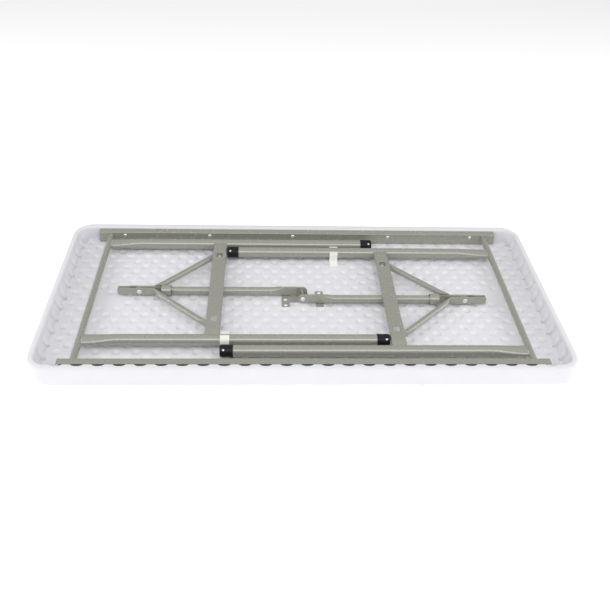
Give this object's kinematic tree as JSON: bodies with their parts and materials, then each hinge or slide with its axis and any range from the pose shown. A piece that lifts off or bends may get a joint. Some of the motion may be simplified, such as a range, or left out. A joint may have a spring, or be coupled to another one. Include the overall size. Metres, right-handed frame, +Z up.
{
  "type": "folding table",
  "caption": "Rectangular folding table, shown face down in its stored pose, with two folding tube leg frames, V braces, lock rings, side rails and leg clips.",
  "frame": {"origin": "centre of the working face, which lies on the floor in the stored pose", "axes": "+X along the table's length to the right, +Y across it to the back, +Z up out of the underside"},
  "size_m": [1.22, 0.61, 0.048],
  "materials": {
    "white_hdpe": "blow-moulded polyethylene, fine satin grain with a grid of moulded dimples",
    "powder_coat": "grey powder coat with a fine orange-peel, semi-gloss",
    "zinc_steel": "bright zinc plate",
    "black_plastic": "moulded black plastic, satin",
    "clip_nylon": "natural nylon, satin"
  },
  "bodies": {
    "table_top": {"bracket_screws": "zinc_steel", "clip_screws": "zinc_steel", "leg_clip_back": "clip_nylon", "leg_clip_front": "clip_nylon", "rail_screws": "zinc_steel", "side_rail_back": "powder_coat", "side_rail_front": "powder_coat", "strut_bracket": "powder_coat", "strut_pivot_pin": "zinc_steel", "tabletop": "white_hdpe"},
    "left_leg_frame": {"left_pivot_tube": "powder_coat", "left_leg_back": "powder_coat", "left_leg_front": "powder_coat", "left_foot_cap_back": "black_plastic", "left_foot_cap_front": "black_plastic", "left_cap_rivets": "zinc_steel", "left_cross_brace": "powder_coat", "left_brace_rivets": "zinc_steel"},
    "left_strut_arm": {"left_strut": "powder_coat"},
    "left_v_brace": {"left_v_arm_back": "powder_coat", "left_v_arm_front": "powder_coat", "left_toggle_rivet": "zinc_steel"},
    "left_ring": {"left_lock_ring": "powder_coat"},
    "right_leg_frame": {"right_pivot_tube": "powder_coat", "right_leg_back": "powder_coat", "right_leg_front": "powder_coat", "right_foot_cap_back": "black_plastic", "right_foot_cap_front": "black_plastic", "right_cap_rivets": "zinc_steel", "right_cross_brace": "powder_coat", "right_brace_rivets": "zinc_steel"},
    "right_strut_arm": {"right_strut": "powder_coat"},
    "right_v_brace": {"right_v_arm_back": "powder_coat", "right_v_arm_front": "powder_coat", "right_toggle_rivet": "zinc_steel"},
    "right_ring": {"right_lock_ring": "powder_coat"}
  },
  "joints": [
    {"name": "left_leg_fold", "type": "hinge", "parent": "table_top", "child": "left_leg_frame", "pos_m": [-0.512, 0, 0.0332], "axis": [0, -1, 0], "range_deg": [0, 90]},
    {"name": "left_strut_swing", "type": "hinge", "parent": "table_top", "child": "left_strut_arm", "pos_m": [0, 0.0165, 0.0275], "axis": [0, 1, 0], "range_deg": [0, 30.85]},
    {"name": "left_v_brace_swing", "type": "hinge", "parent": "left_strut_arm", "child": "left_v_brace", "pos_m": [-0.40365, 0.0165, 0.0275], "axis": [0, -1, 0], "range_deg": [0, 178.8]},
    {"name": "left_ring_slide", "type": "slide", "parent": "left_strut_arm", "child": "left_ring", "axis": [1, 0, 0], "range_m": [0, 0.085]},
    {"name": "right_leg_fold", "type": "hinge", "parent": "table_top", "child": "right_leg_frame", "pos_m": [0.512, 0, 0.0332], "axis": [0, 1, 0], "range_deg": [0, 90]},
    {"name": "right_strut_swing", "type": "hinge", "parent": "table_top", "child": "right_strut_arm", "pos_m": [0, -0.0165, 0.0275], "axis": [0, -1, 0], "range_deg": [0, 30.85]},
    {"name": "right_v_brace_swing", "type": "hinge", "parent": "right_strut_arm", "child": "right_v_brace", "pos_m": [0.40365, -0.0165, 0.0275], "axis": [0, 1, 0], "range_deg": [0, 178.8]},
    {"name": "right_ring_slide", "type": "slide", "parent": "right_strut_arm", "child": "right_ring", "axis": [-1, 0, 0], "range_m": [-0.009, 0.075]}
  ],
  "couplings": [
    {"joint": "left_strut_swing", "follows": "left_leg_fold", "ratio": 0.34268},
    {"joint": "left_v_brace_swing", "follows": "left_leg_fold", "ratio": 1.9866},
    {"joint": "right_strut_swing", "follows": "right_leg_fold", "ratio": 0.34268},
    {"joint": "right_v_brace_swing", "follows": "right_leg_fold", "ratio": 1.9866}
  ]
}
